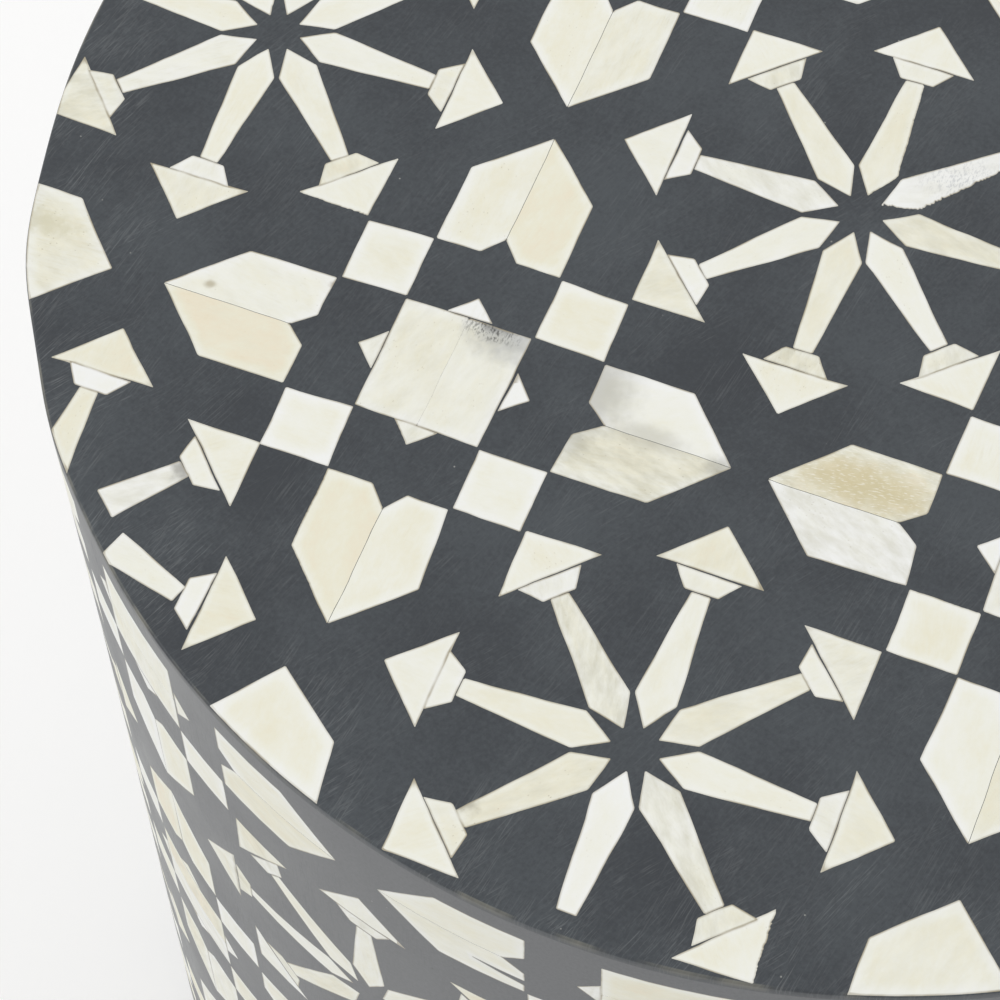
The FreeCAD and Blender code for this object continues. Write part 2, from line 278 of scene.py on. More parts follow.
# Pieces of the top with looks of their own, by kind and place in pitches, then by turn, or turn and side
MARKED = {
    ("shield_halves", (-0.5, -0.5)): {
        (2, -1): look(0.36, 0.3, 0.15, stained=1.0), (2, 1): look(0.72, 0.1, 0.1), (3, -1): look(0.64, 0.1),
        (3, 1): look(0.46, 0.2), (0, 1): look(0.26, 0.1, 0.0, stained=1.0),
        (0, -1): look(0.52, 0.7, 1.0, stained=1.0, pores=0.8), (1, 1): look(0.46, 0.2, 0.1),
        (1, -1): look(0.64, 0.2),
    },
    ("shield_halves", (0.5, -0.5)): {
        (2, -1): look(0.66, 1.0, 0.8, stained=1.0), (2, 1): look(0.05, 0.1, 0.75), (3, -1): look(0.36, 0.1),
    },
    ("shield_halves", (-0.5, 0.5)): {(3, -1): look(0.45, 0.2), (3, 1): look(0.48, 0.5, 0.3)},
    ("rim_shields", (-1.5, -0.5)): {0: look(0.5, 0.6, 0.4, stained=1.0, pores=1.0)},
    ("rim_shields", (-0.5, -1.5)): {1: look(0.47, 0.1, 0.0, askew=0.14)},
    ("square_halves", (-0.5, -0.5)): {
        0: look(0.4, 0.2, 0.25, stained=1.0, pores=0.5, turn=1.6),
        1: look(0.46, 0.2, 0.35, stained=1.0, pores=0.7, turn=1.5),
    },
    ("square_points", (-0.5, -0.5)): {
        0: shade(0.1, 0.0), 1: shade(0.1, 0.0), 2: shade(0.5, 0.8), 3: shade(0.5, 0.6),
    },
    ("corner_squares", (-0.5, -0.5)): {
        0: look(0.52, 0.2), 1: look(0.42, 0.2, 0.1), 2: look(0.36, 0.2), 3: look(0.38, 0.2),
    },
    ("corner_squares", (0.5, -0.5)): {2: look(0.52, 0.2)},
    ("star_spokes", (0, 0)): {
        0: look(0.54, 0.2, 0.7), 1: look(0.0, 0.1, 0.35, stained=1.0, chips=0.75), 2: look(0.52, 0.3, 0.2),
        3: look(0.48, 0.3, 0.2), 4: look(0.2, 0.3, 0.6), 5: look(0.36, 0.2, 0.1), 6: look(0.52, 0.2, 0.2),
        7: look(0.3, 0.1),
    },
    ("star_collars", (0, 0)): {
        3: look(0.46, 0.2, 0.7), 4: look(0.2, 0.2, 0.1), 5: look(0.25, 0.2),
        6: look(0.56, 0.5, 1.0, pores=1.0), 7: look(0.42, 0.3, 0.8),
    },
    ("star_arrowheads", (0, 0)): {
        2: look(0.38, 0.2), 3: look(0.4, 0.2), 4: look(0.34, 0.2, 0.1), 5: look(0.52, 0.4, 0.45),
        6: look(0.46, 0.2), 7: look(0.42, 0.2),
    },
    ("star_spokes", (0, -1)): {
        0: look(0.4, 0.1), 1: look(0.52, 0.2, 0.4), 2: look(0.38, 0.2, 0.1),
        3: look(0.4, 0.5, 1.0, pores=0.4), 4: look(0.5, 0.1, 0.1),
        5: look(0.56, 0.3, 0.5, stained=1.0, pores=1.0), 6: look(0.18, 0.1), 7: look(0.3, 0.3, 0.8),
    },
    ("star_collars", (0, -1)): {1: look(0.4, 0.2, 0.1), 4: look(0.34, 0.2, 0.1)},
    ("star_arrowheads", (0, -1)): {
        3: look(0.42, 0.2), 4: look(0.38, 0.2, 0.1), 5: look(0.42, 0.2),
        7: look(0.42, 0.2, 0.0, askew=0.07, chips=-0.65),
    },
    ("star_arrowheads", (-1, 0)): {5: look(0.58, 0.4, 0.8), 7: look(0.42, 0.2, 0.1, chips=0.4)},
    ("star_spokes", (-1, -1)): {
        0: look(0.36, 0.2, 0.1, start=0.138, askew=-0.3, aside=0.0174),
        1: look(0.15, 0.2, 0.6, start=0.14, askew=0.06, stained=1.0),
    },
    ("star_collars", (-1, -1)): {0: look(0.2, 0.1), 1: look(0.34, 0.1, 0.1), 2: look(0.1, 0.1)},
    ("star_arrowheads", (-1, -1)): {
        0: look(0.54, 0.3, 0.1), 1: look(0.44, 0.3, 0.1), 2: look(0.6, 0.3, 0.1),
    },
}


# Flat outlines of the motifs

def sides(outline):
    """The edges of an outline, each from one corner to the next."""
    return zip(outline, outline[1:] + outline[:1])


def corners(outline):
    """The corners of an outline, each between its two neighbours."""
    return zip(outline[-1:] + outline[:-1], outline, outline[1:] + outline[:1])


def between(a, b, share):
    return a[0] + (b[0] - a[0]) * share, a[1] + (b[1] - a[1]) * share


def polar(out, angle):
    return out * cos(angle), out * sin(angle)


def mirrored(half):
    """A whole outline from the half on one side of its axis."""
    return list(half) + [(along, -across) for along, across in reversed(half) if across]


def star_kinds():
    halves = {"star_spokes": SPOKE, "star_collars": COLLAR, "star_arrowheads": ARROWHEAD}
    return [(kind, mirrored(half), 8) for kind, half in halves.items()]


def square_kinds():
    side, near, far = SQUARE, *CORNER_SQUARE
    half = [(0, side), (side, side), (side, -side), (0, -side)]
    point = [(side, side * POINT_BASE), (POINT, 0), (side, -side * POINT_BASE)]
    corner = [(near, near), (far, near), (far, far), (near, far)]
    return [("square_halves", half, 2), ("square_points", point, 4), ("corner_squares", corner, 4)]


def shield_half():
    return [
        (SHIELD_BASE + NOTCH_DEPTH, 0),
        (SHIELD_BASE, NOTCH_WIDTH),
        (SHIELD_BASE, SHIELD_WIDTH),
        (SHIELD_SHOULDER, SHIELD_WIDTH),
        (SHIELD_TIP, 0),
    ]


def shield_halves():
    return [(side, [(along, across * side) for along, across in shield_half()]) for side in (1, -1)]


def split_base(half):
    """A shield half with a narrow split that opens at its base."""
    first, *rest = half
    side = copysign(1, rest[1][1])
    near, far = (NOTCH_WIDTH + (SHIELD_WIDTH - NOTCH_WIDTH) * share for share in SPLIT_SPAN)
    end = (SHIELD_BASE + SPLIT_DEPTH, near * side * SPLIT_LEAN)
    return [first, rest[0], (SHIELD_BASE, near * side), end, (SHIELD_BASE, far * side), *rest[1:]]


def shortened(outline, start):
    """An outline with its inner end cut square across."""
    kept = []
    for (a, across_a), (b, across_b) in sides(outline):
        if a >= start:
            kept.append((a, across_a))
        if (a < start) != (b < start):
            kept.append((start, across_a + (across_b - across_a) * (start - a) / (b - a)))
    return kept


def turned(outline, angle):
    """An outline in shares, turned about its motif's centre."""
    return [(x * cos(angle) - y * sin(angle), x * sin(angle) + y * cos(angle)) for x, y in outline]


def area(outline):
    """The area inside an outline, negative if it runs clockwise."""
    return sum(a[0] * b[1] - a[1] * b[0] for a, b in sides(outline)) / 2


def middle(outline):
    return sum(x for x, y in outline) / len(outline), sum(y for x, y in outline) / len(outline)


def split_edges(outline, step):
    """The same outline with points along its edges."""
    finer = []
    for (ax, ay), (bx, by) in sides(outline):
        count = max(1, round(hypot(bx - ax, by - ay) / step))
        finer += [(ax + (bx - ax) * k / count, ay + (by - ay) * k / count) for k in range(count)]
    return finer


def hand_cut(outline, place):
    """An outline as a saw leaves it: corners a little off their marks, edges a little wavy."""
    cut = []
    for x, y in outline:
        spot = place(x, y)
        off = noise.noise_vector(spot / STRAY_LENGTH) * STRAY + noise.noise_vector(spot / WAVE_LENGTH) * WAVE
        cut.append((x + off.x, y + off.y))
    return cut


def drift_at(x, y):
    """How far the pattern of the top has drifted at one place."""
    total = 1 / DRIFT_FADE ** 4
    shift = Vector((0, 0))
    for place, drift in DRIFT:
        apart = (x / STAR_PITCH - place[0]) ** 2 + (y / STAR_PITCH - place[1]) ** 2 + DRIFT_CORE
        total += 1 / apart ** 2
        shift += Vector(drift) / apart ** 2
    return shift / total


def drifted(outline, star=None):
    """An outline of the top moved with the drift round it. The pieces of a star move with its centre."""
    shifts = [drift_at(*(star or point)) for point in outline]
    return [(x + shift.x, y + shift.y) for (x, y), shift in zip(outline, shifts)]


def loosened(outline, kind, draw, more=0.0):
    """A piece laid a little askew. Halves that share a seam are laid together."""
    shift, turn = LOOSE.get(kind, (0, 0))
    cx, cy = middle(outline)
    dx, dy = draw.gauss(0, shift), draw.gauss(0, shift)
    askew = turned([(x - cx, y - cy) for x, y in outline], draw.gauss(0, turn) + more)
    return [(cx + dx + x, cy + dy + y) for x, y in askew]


def chipped(outline, angle, depth):
    """A piece with one long edge broken away in small chips, the other one where the depth is negative."""
    cx, cy = middle(outline)
    side = copysign(1, depth)
    broken = []
    for x, y in split_edges(outline, CHIP_STEP):
        across = side * ((y - cy) * cos(angle) - (x - cx) * sin(angle))
        loss = 0.0
        if across < -CHIP_START:
            loss = depth * abs(noise.fractal(Vector((x, y, 0)) / CHIP_LENGTH, *CHIP_NOISE))
        broken.append((x - sin(angle) * loss, y + cos(angle) * loss))
    return broken


def blunted(outline, draw):
    """An outline whose corners are worn off by small amounts."""
    worn = []
    for before, here, after in corners(outline):
        loss = draw.uniform(*BLUNT)
        for other in (before, after):
            share = min(MOST_BLUNT, loss / max(0.01, hypot(other[0] - here[0], other[1] - here[1])))
            worn.append(between(here, other, share))
    return worn


def bands_of(kind):
    """How far inside a piece's border points are set."""
    narrow = kind.startswith("star") or kind == "square_points"
    return EDGE_BAND, NARROW_BAND if narrow else BROAD_BAND


def seam_of(kind):
    return FINE_SEAM if kind == "square_halves" else SEAM


def shrunk(outline, inset):
    """An outline drawn in by the same amount along every edge."""
    sign = 1 if area(outline) > 0 else -1
    drawn = []
    for before, here, after in corners(outline):
        first = Vector((here[0] - before[0], here[1] - before[1])).normalized()
        second = Vector((after[0] - here[0], after[1] - here[1])).normalized()
        normal = Vector((-first.y - second.y, first.x + second.x)) * sign
        reach = inset * 2 / max(normal.length_squared, SHARPEST)
        drawn.append((here[0] + normal.x * reach, here[1] + normal.y * reach))
    return drawn


def inside_rim(outline, reach):
    """What the rim leaves of an outline, with points along the cut."""
    kept = []
    for a, b in sides(outline):
        a_in, b_in = (hypot(*end) <= reach for end in (a, b))
        if a_in:
            kept.append((*a, False))
        if a_in != b_in:
            low, high = (0.0, 1.0) if a_in else (1.0, 0.0)
            for _ in range(CUT_HALVINGS):
                half = (low + high) / 2
                if hypot(*between(a, b, half)) <= reach:
                    low = half
                else:
                    high = half
            kept.append((*between(a, b, low), True))
    rest = []
    for (ax, ay, a_cut), (bx, by, b_cut) in sides(kept):
        rest.append((ax, ay))
        if a_cut and b_cut:
            start = atan2(ay, ax)
            swing = (atan2(by, bx) - start + pi) % (2 * pi) - pi
            count = max(1, ceil(abs(swing) / (2 * pi / RIM_STEPS)))
            rest += [polar(reach, start + swing * k / count) for k in range(1, count)]
    return rest


# The two sheets of the pattern: the flat top, and the wall unrolled

def swell(angle):
    """How far the skin stands out of round in one direction."""
    out = 0.0
    for towards, spread, most in OUT_OF_ROUND:
        off = (angle - radians(towards) + pi) % (2 * pi) - pi
        out += most * exp(-(off / radians(spread)) ** 2)
    return out


def on_top(x, y, depth=0.0):
    """A place on the top or below it, in millimetres. The rim falls away in a small round."""
    across = hypot(x, y)
    over = max(0.0, across - (RADIUS - RIM_ROUND))
    fall = RIM_ROUND - sqrt(max(0.0, RIM_ROUND ** 2 - over ** 2))
    wider = 1 + swell(atan2(y, x)) / RADIUS * (across / RADIUS) ** 4
    return Vector((x * wider, y * wider, HEIGHT - max(fall, depth)))


def on_wall(x, y, depth=0.0):
    """A place on the wall or behind it: x runs round the wall and y is the height."""
    angle = x / RADIUS
    fade = min(1.0, max(0.0, 1 - (WALL_HEAD - y) / SWELL_FADE))
    out = RADIUS + swell(angle) * fade ** 2 - depth
    return Vector((*polar(out, angle), y))


def bone_style(kind, draw):
    """Colour, greyness, streaks and pores of one piece, and the way its grain runs."""
    style = {
        "tone": min(MOST_TONE, max(0.0, draw.gauss(*TONE))),
        "grey": max(0.0, draw.gauss(*GREY)),
        "streak": draw.uniform(*STREAKS),
        "pores": max(0.0, draw.gauss(*PORES)),
        "stained": 0.0,
        "askew": 0.0,
        "chips": draw.uniform(*CHIPS) if draw.random() < CHIPPED_SHARE else 0.0,
        "turn": draw.gauss(*GRAIN_TURN),
        "seed": draw.uniform(*GRAIN_SEEDS),
    }
    if kind == "star_collars":
        style["grey"] += COLLAR_GREY
    if kind.startswith(("square", "corner")) and draw.random() < CROSS_SHARE:
        style["turn"] += pi / 2
    return style


def on_lattice(outline, angle, place):
    """An outline in shares, turned and laid on the top's lattice."""
    return [((place[0] + x) * STAR_PITCH, (place[1] + y) * STAR_PITCH) for x, y in turned(outline, angle)]


def crosses_rim(outline):
    return any(hypot(x, y) > RADIUS - CUT_LIP for x, y in outline)


def top_pieces():
    """Every bone piece of the top: its kind, outline and style."""
    pieces = []

    def add(outline, angle, key):
        kind, place, turn, side = key
        marks = MARKED.get((kind, place), {}).get((turn, side) if side else turn, {})
        if "start" in marks:
            outline = shortened(outline, marks["start"])
        outline = [(along, across + marks.get("aside", 0.0)) for along, across in outline]
        placed = on_lattice(outline, angle, place)
        if crosses_rim(placed):
            rest = inside_rim(placed, RADIUS - CUT_LIP)
            if len(rest) < 3 or abs(area(rest)) < LEAST_REST * abs(area(placed)):
                return
        draw = random.Random(f"top {key}")
        style = bone_style(kind, draw)
        style.update(marks)
        star = (place[0] * STAR_PITCH, place[1] * STAR_PITCH) if kind.startswith("star") else None
        laid = blunted(loosened(drifted(placed, star), kind, draw, style["askew"]), draw)
        if style["chips"]:
            laid = chipped(laid, angle, style["chips"])
        cut = shrunk(hand_cut(split_edges(laid, WAVE_STEP), on_top), seam_of(kind))
        style["grain"] = angle + style["turn"]
        pieces.append((kind, inside_rim(cut, RADIUS - RIM_LIP), style))

    reach = ceil(RADIUS / STAR_PITCH) + 1
    steps = range(-reach, reach + 1)
    stars = [(column, row) for column in steps for row in steps]
    squares = [(column + 0.5, row + 0.5) for column, row in stars]
    for places, motif in ((stars, star_kinds()), (squares, square_kinds())):
        for kind, outline, count in motif:
            for place in places:
                for turn in range(count):
                    add(outline, 2 * pi * turn / count, (kind, place, turn, 0))
    whole = mirrored(shield_half())
    for place in squares:
        for turn in range(4):
            angle = pi / 2 * turn
            if crosses_rim(on_lattice(whole, angle, place)):
                add(whole, angle, ("rim_shields", place, turn, 0))
                continue
            for side, half in shield_halves():
                add(half, angle, ("shield_halves", place, turn, side))
    return pieces


def wall_pieces():
    """Every bone piece of the wall, with outlines split where the wall's facets meet."""
    pieces = []
    star_scale = (COLUMN_PITCH + ROW_PITCH) / 2

    def add(kind, outline, angle, centre, scale, key):
        if kind == "shield_halves" and key in SPLIT_SHIELDS:
            outline = split_base(outline)
        placed = [(centre[0] + x * scale[0], centre[1] + y * scale[1]) for x, y in turned(outline, angle)]
        heights = [y for x, y in placed]
        if min(heights) < WALL_FOOT + WALL_CLEARANCE or max(heights) > HEIGHT - WALL_CLEARANCE:
            return
        draw = random.Random(f"wall {kind} {key}")
        style = bone_style(kind, draw)
        # Wall pieces are painted greyer than the top's: painted shade on the upright wall
        style["grey"] += WALL_PAINTED_SHADE
        cut = shrunk(hand_cut(blunted(loosened(placed, kind, draw), draw), on_wall), seam_of(kind))
        style["grain"] = angle + style["turn"]
        pieces.append((kind, split_at_facets(cut), style))

    halves = [("shield_halves", half, 4, side) for side, half in shield_halves()]
    squares = [(*kind, 0) for kind in square_kinds()] + halves
    stars = [(*kind, 0) for kind in star_kinds()]
    motifs = (
        (FIRST_SQUARE_COLUMN, 0.0, (COLUMN_PITCH, ROW_PITCH), squares),
        (FIRST_STAR_COLUMN, 0.5, (star_scale, star_scale), stars),
    )
    for column in range(WALL_COLUMNS):
        for row in range(WALL_ROWS):
            for first, down, scale, kinds in motifs:
                around = first * RADIUS + column * COLUMN_PITCH
                centre = (around, HEIGHT - WALL_MARGIN - (row + down) * ROW_PITCH)
                for kind, outline, count, side in kinds:
                    for turn in range(count):
                        angle = 2 * pi * turn / count + (pi / 2 if kind == "square_halves" else 0)
                        add(kind, outline, angle, centre, scale, (column, row, turn, side))
    return pieces


def split_at_facets(outline):
    """An outline with a point wherever it crosses from one facet of the wall to the next."""
    width = GIRTH / WALL_STEPS
    split = []
    for (ax, ay), (bx, by) in sides(outline):
        split.append((ax, ay))
        low, high = sorted((ax, bx))
        lines = [k * width for k in range(ceil(low / width), floor(high / width) + 1)]
        for line in lines if bx > ax else reversed(lines):
            share = (line - ax) / (bx - ax) if bx != ax else 0
            if 0.001 < share < 0.999:
                split.append((line, ay + (by - ay) * share))
    return split


# From outlines to solid pieces and the ground between them

def to_ring(x, y):
    """The unrolled wall bent flat into a ring, so that it has no ends."""
    return polar(RING_START + y, x / RADIUS)


def from_ring(x, y):
    return atan2(y, x) % (2 * pi) * RADIUS, hypot(x, y) - RING_START


def within(point, outline):
    """Whether a point lies inside an outline."""
    x, y = point
    inside = False
    for (ax, ay), (bx, by) in sides(outline):
        if (ay > y) != (by > y) and x < ax + (bx - ax) * (y - ay) / (by - ay):
            inside = not inside
    return inside


def partition(outlines, loops, lines):
    """Triangles that fill a sheet and cross no outline: their points, each piece's, and the ground's."""
    points, edges = [], []
    for outline, closed in [(loop, True) for loop in outlines + loops] + [(line, False) for line in lines]:
        numbers = list(range(len(points), len(points) + len(outline)))
        points += [Vector(point) for point in outline]
        edges += zip(numbers, numbers[1:] + numbers[:1] if closed else numbers[1:])
    found, _, triangles, _, _, _ = delaunay_2d_cdt(points, edges, [], 0, MERGE, False)
    found = [tuple(point) for point in found]
    tiles = {}
    for number, outline in enumerate(outlines):
        columns = [floor(x / TILE) for x, y in outline]
        rows = [floor(y / TILE) for x, y in outline]
        for column in range(min(columns), max(columns) + 1):
            for row in range(min(rows), max(rows) + 1):
                tiles.setdefault((column, row), []).append(number)
    cells, ground = [[] for _ in outlines], []
    for triangle in triangles:
        spot = middle([found[n] for n in triangle])
        near = tiles.get((floor(spot[0] / TILE), floor(spot[1] / TILE)), [])
        owner = next((cells[number] for number in near if within(spot, outlines[number])), ground)
        owner.append(tuple(triangle))
    return found, cells, ground


def inner_loops(pieces):
    """Loops of points inside the pieces, so that their borders can be shaded."""
    loops = []
    for kind, outline, style in pieces:
        for band in bands_of(kind):
            loop = [point for point in shrunk(outline, band) if within(point, outline)]
            if len(loop) > 2:
                loops.append(loop)
    return loops


def unwrapped(point, start):
    """A place on the sheet, on the same turn of the wall as another place."""
    return start[0] + (point[0] - start[0] + GIRTH / 2) % GIRTH - GIRTH / 2, point[1]


def rims(triangles):
    """Edges with a triangle on one side only, in the direction of that triangle."""
    seen = {}
    for triangle in triangles:
        for a, b in sides(triangle):
            if not seen.pop((b, a), False):
                seen[a, b] = True
    return list(seen)


def gap(point, start, end):
    """How far a point lies from a side."""
    ax, ay = end[0] - start[0], end[1] - start[1]
    bx, by = point[0] - start[0], point[1] - start[1]
    share = min(1.0, max(0.0, (bx * ax + by * ay) / max(ax ** 2 + ay ** 2, 1e-9)))
    return hypot(bx - ax * share, by - ay * share)


def seam_points(points, border, borders):
    """The points of one border that lie against another piece."""
    spots = {number: points[number] for edge in border for number in edge}
    cx, cy = middle(list(spots.values()))
    reach = max(hypot(x - cx, y - cy) for x, y in spots.values()) + SEAM_SEARCH
    near = [
        (points[a], points[b]) for other in borders if other is not border for a, b in other
        if hypot(points[a][0] - cx, points[a][1] - cy) < reach
    ]
    return {number for number, spot in spots.items() if any(gap(spot, *side) < SEAM_REACH for side in near)}


def new_object(name, vertices, faces, material):
    mesh = bpy.data.meshes.new(name)
    mesh.from_pydata([vertex * MM for vertex in vertices], [], faces)
    mesh.materials.append(material)
    mesh.polygons.foreach_set("use_smooth", [True] * len(mesh.polygons))
    mesh.update()
    mesh.set_sharp_from_angle(angle=SHARP_ANGLE)
    thing = bpy.data.objects.new(name, mesh)
    bpy.context.scene.collection.objects.link(thing)
    return thing


def bone_object(name, pieces, points, cells, place, material):
    """Solid bone pieces of one kind, each with a back a little smaller than its face."""
    vertices, faces, styles, stained, edge_marks, grains = [], [], [], [], [], []
    borders = [rims(triangles) for triangles in cells]
    for (kind, outline, style), triangles, border in zip(pieces, cells, borders):
        used = sorted(set().union(*triangles))
        spots = {number: unwrapped(points[number], points[used[0]]) for number in used}
        seam = seam_points(points, border, borders) if kind.endswith("halves") else set()
        open_sides = [(spots[a], spots[b]) for a, b in border if a not in seam or b not in seam]
        cx, cy = middle(list(spots.values()))
        cosine, sine = cos(style["grain"]), sin(style["grain"])
        front = {number: len(vertices) + k for k, number in enumerate(used)}
        back = {number: len(vertices) + len(used) + k for k, number in enumerate(used)}
        flat = [(x - cx, y - cy) for x, y in spots.values()]
        vertices += [place(*spot) for spot in spots.values()]
        vertices += [place(cx + x * BACK_SHARE, cy + y * BACK_SHARE, BONE) for x, y in flat]
        edge_marks += [min(gap(spot, *side) for side in open_sides) for spot in spots.values()]
        edge_marks += [0.0] * len(used)
        start = [style["seed"] * stride for stride in GRAIN_STRIDE]
        along = [(x * cosine + y * sine + start[0], y * cosine - x * sine + start[1]) for x, y in flat]
        grains += along + along
        shell = [tuple(front[n] for n in triangle) for triangle in triangles]
        shell += [tuple(back[n] for n in reversed(triangle)) for triangle in triangles]
        shell += [(front[b], front[a], back[a], back[b]) for a, b in border]
        faces += shell
        stained += [style["stained"]] * len(shell)
        tone = style["tone"] + (STAR_WARMTH if kind.startswith("star") else 0.0)
        styles += [tone, style["grey"], style["streak"], style["pores"]] * len(shell)
    thing = new_object(name, vertices, faces, material)
    mesh = thing.data
    mesh.attributes.new("bone", "FLOAT_COLOR", "FACE").data.foreach_set("color", styles)
    mesh.attributes.new("stained", "FLOAT", "FACE").data.foreach_set("value", stained)
    mesh.attributes.new("edge", "FLOAT", "POINT").data.foreach_set("value", edge_marks)
    grain = mesh.uv_layers.new(name="grain")
    grain.data.foreach_set("uv", [value for loop in mesh.loops for value in grains[loop.vertex_index]])
    return thing


def disc_back(points, border):
    """The back of the top: one flat face inside its border."""
    return [sorted(set().union(*border), key=lambda n: atan2(*points[n]))]


def sleeve_back(points, border):
    """The back of the wall: upright faces between its foot and its head."""
    ends = set().union(*border)
    half_way = (WALL_FOOT + WALL_HEAD) / 2
    foot = sorted((n for n in ends if points[n][1] < half_way), key=lambda n: points[n])
    head = sorted((n for n in ends if points[n][1] > half_way), key=lambda n: points[n])
    return list(zip(foot, head, head[1:] + head[:1], foot[1:] + foot[:1]))


def on_rim(vertex):
    """One for a vertex of the worn rim and zero for the others."""
    across = hypot(vertex.x, vertex.y)
    across /= 1 + swell(atan2(vertex.y, vertex.x)) / RADIUS
    return 1.0 if across > RADIUS - WORN_IN and vertex.z > HEIGHT - WORN_DOWN else 0.0


def ground_object(name, points, ground, cells, place, material, backs):
    """The resin: its face, a pocket behind every bone piece, and its back."""
    vertices, faces, numbers = [], [], {}

    def vertex(number, depth):
        key = (number, depth)
        if key not in numbers:
            numbers[key] = len(vertices)
            vertices.append(place(*points[number], depth))
        return numbers[key]

    faces += [tuple(vertex(n, 0.0) for n in triangle) for triangle in ground]
    held = [triangle for triangles in cells for triangle in triangles]
    faces += [tuple(vertex(n, BONE) for n in triangle) for triangle in held]
    faces += [(vertex(b, BONE), vertex(a, BONE), vertex(a, 0.0), vertex(b, 0.0)) for a, b in rims(held)]
    border = rims(ground + held)
    faces += [(vertex(b, 0.0), vertex(a, 0.0), vertex(a, SKIN), vertex(b, SKIN)) for a, b in border]
    faces += [tuple(vertex(n, SKIN) for n in face) for face in backs(points, border)]
    thing = new_object(name, vertices, faces, material)
    worn = [on_rim(vertex) for vertex in vertices]
    thing.data.attributes.new("rim", "FLOAT", "POINT").data.foreach_set("value", worn)
    return thing


# Materials

class Recipe:
    """A material's node tree, with short ways to add and join nodes."""

    def __init__(self, name, **constants):
        self.material = bpy.data.materials.new(name)
        self.material.use_nodes = True
        self.tree = self.material.node_tree
        self.shader = self.tree.nodes["Principled BSDF"]
        for socket, value in constants.items():
            self.shader.inputs[socket.replace("_", " ")].default_value = value

    def node(self, kind, inputs=(), **settings):
        made = self.tree.nodes.new(kind)
        for key, value in settings.items():
            setattr(made, key, value)
        for socket, value in dict(inputs).items():
            self.feed(made.inputs[socket], value)
        return made

    def feed(self, socket, value):
        if isinstance(value, bpy.types.NodeSocket):
            self.tree.links.new(value, socket)
        else:
            socket.default_value = value

    def math(self, operation, first, second=0.0):
        return self.node("ShaderNodeMath", {0: first, 1: second}, operation=operation).outputs[0]

    def times(self, first, second):
        return self.math("MULTIPLY", first, second)

    def plus(self, first, second):
        return self.math("ADD", first, second)

    def swing(self, noise, reach):
        """A noise made to swing to both sides of zero."""
        return self.times(self.math("SUBTRACT", noise, 0.5), reach)

    def vector(self, operation, *values):
        return self.node("ShaderNodeVectorMath", enumerate(values), operation=operation).outputs

    def mark(self, name):
        """A value that the mesh carries."""
        return self.node("ShaderNodeAttribute", attribute_name=name).outputs["Fac"]

    def span(self, value, low, high, out_low=0.0, out_high=1.0):
        """A value stretched from one span to another, smoothly and within it."""
        inputs = {"Value": value, "From Min": low, "From Max": high, "To Min": out_low, "To Max": out_high}
        made = self.node("ShaderNodeMapRange", inputs, interpolation_type="SMOOTHSTEP")
        return made.outputs["Result"]

    def stretch(self, vector, scale, turn=0.0, move=(0, 0, 0)):
        if turn:
            inputs = {"Vector": vector, "Angle": turn}
            vector = self.node("ShaderNodeVectorRotate", inputs, rotation_type="Z_AXIS").outputs[0]
        inputs = {"Vector": vector, "Scale": scale, "Location": move}
        return self.node("ShaderNodeMapping", inputs).outputs["Vector"]

    def noise(self, vector, scale, detail=2.0, roughness=0.5, turn=0.0, move=(0, 0, 0)):
        """A noise value, stretched where the scale has three parts."""
        if isinstance(scale, tuple):
            vector, scale = self.stretch(vector, scale, turn, move), 1.0
        inputs = {"Vector": vector, "Scale": scale, "Detail": detail, "Roughness": roughness}
        return self.node("ShaderNodeTexNoise", inputs).outputs["Fac"]

    def dots(self, vector, scale, reach, share):
        """Round specks: a share of the cells of a scattered grid, each with one speck."""
        cells = self.node("ShaderNodeTexVoronoi", {"Vector": vector, "Scale": scale, "Randomness": 1.0})
        near = self.span(cells.outputs["Distance"], reach * 0.4, reach, 1.0, 0.0)
        parts = self.node("ShaderNodeSeparateColor", {0: cells.outputs["Color"]})
        chosen = self.math("LESS_THAN", parts.outputs[0], share)
        return self.times(near, chosen)

    def ramp(self, value, stops):
        made = self.node("ShaderNodeValToRGB", {"Fac": value})
        elements = made.color_ramp.elements
        while len(elements) < len(stops):
            elements.new(1.0)
        for element, (position, colour) in zip(elements, stops):
            element.position = position
            element.color = colour
        return made.outputs["Color"]

    def mix(self, share, first, second):
        inputs = {"Factor": share, 6: first, 7: second}
        return self.node("ShaderNodeMix", inputs, data_type="RGBA").outputs[2]

    def tint(self, colour, where, share, paint):
        """A colour that takes a share of paint where a value is high."""
        return self.mix(self.times(where, share), colour, paint)

    def place(self):
        return self.node("ShaderNodeTexCoord").outputs["Object"]

    def finish(self, colour, roughness, height=None, depth=0.0):
        self.feed(self.shader.inputs["Base Color"], colour)
        self.feed(self.shader.inputs["Roughness"], roughness)
        if height is not None:
            bump = self.node("ShaderNodeBump", {"Height": height, "Distance": depth, "Strength": 1.0})
            self.feed(self.shader.inputs["Normal"], bump.outputs["Normal"])
        return self.material


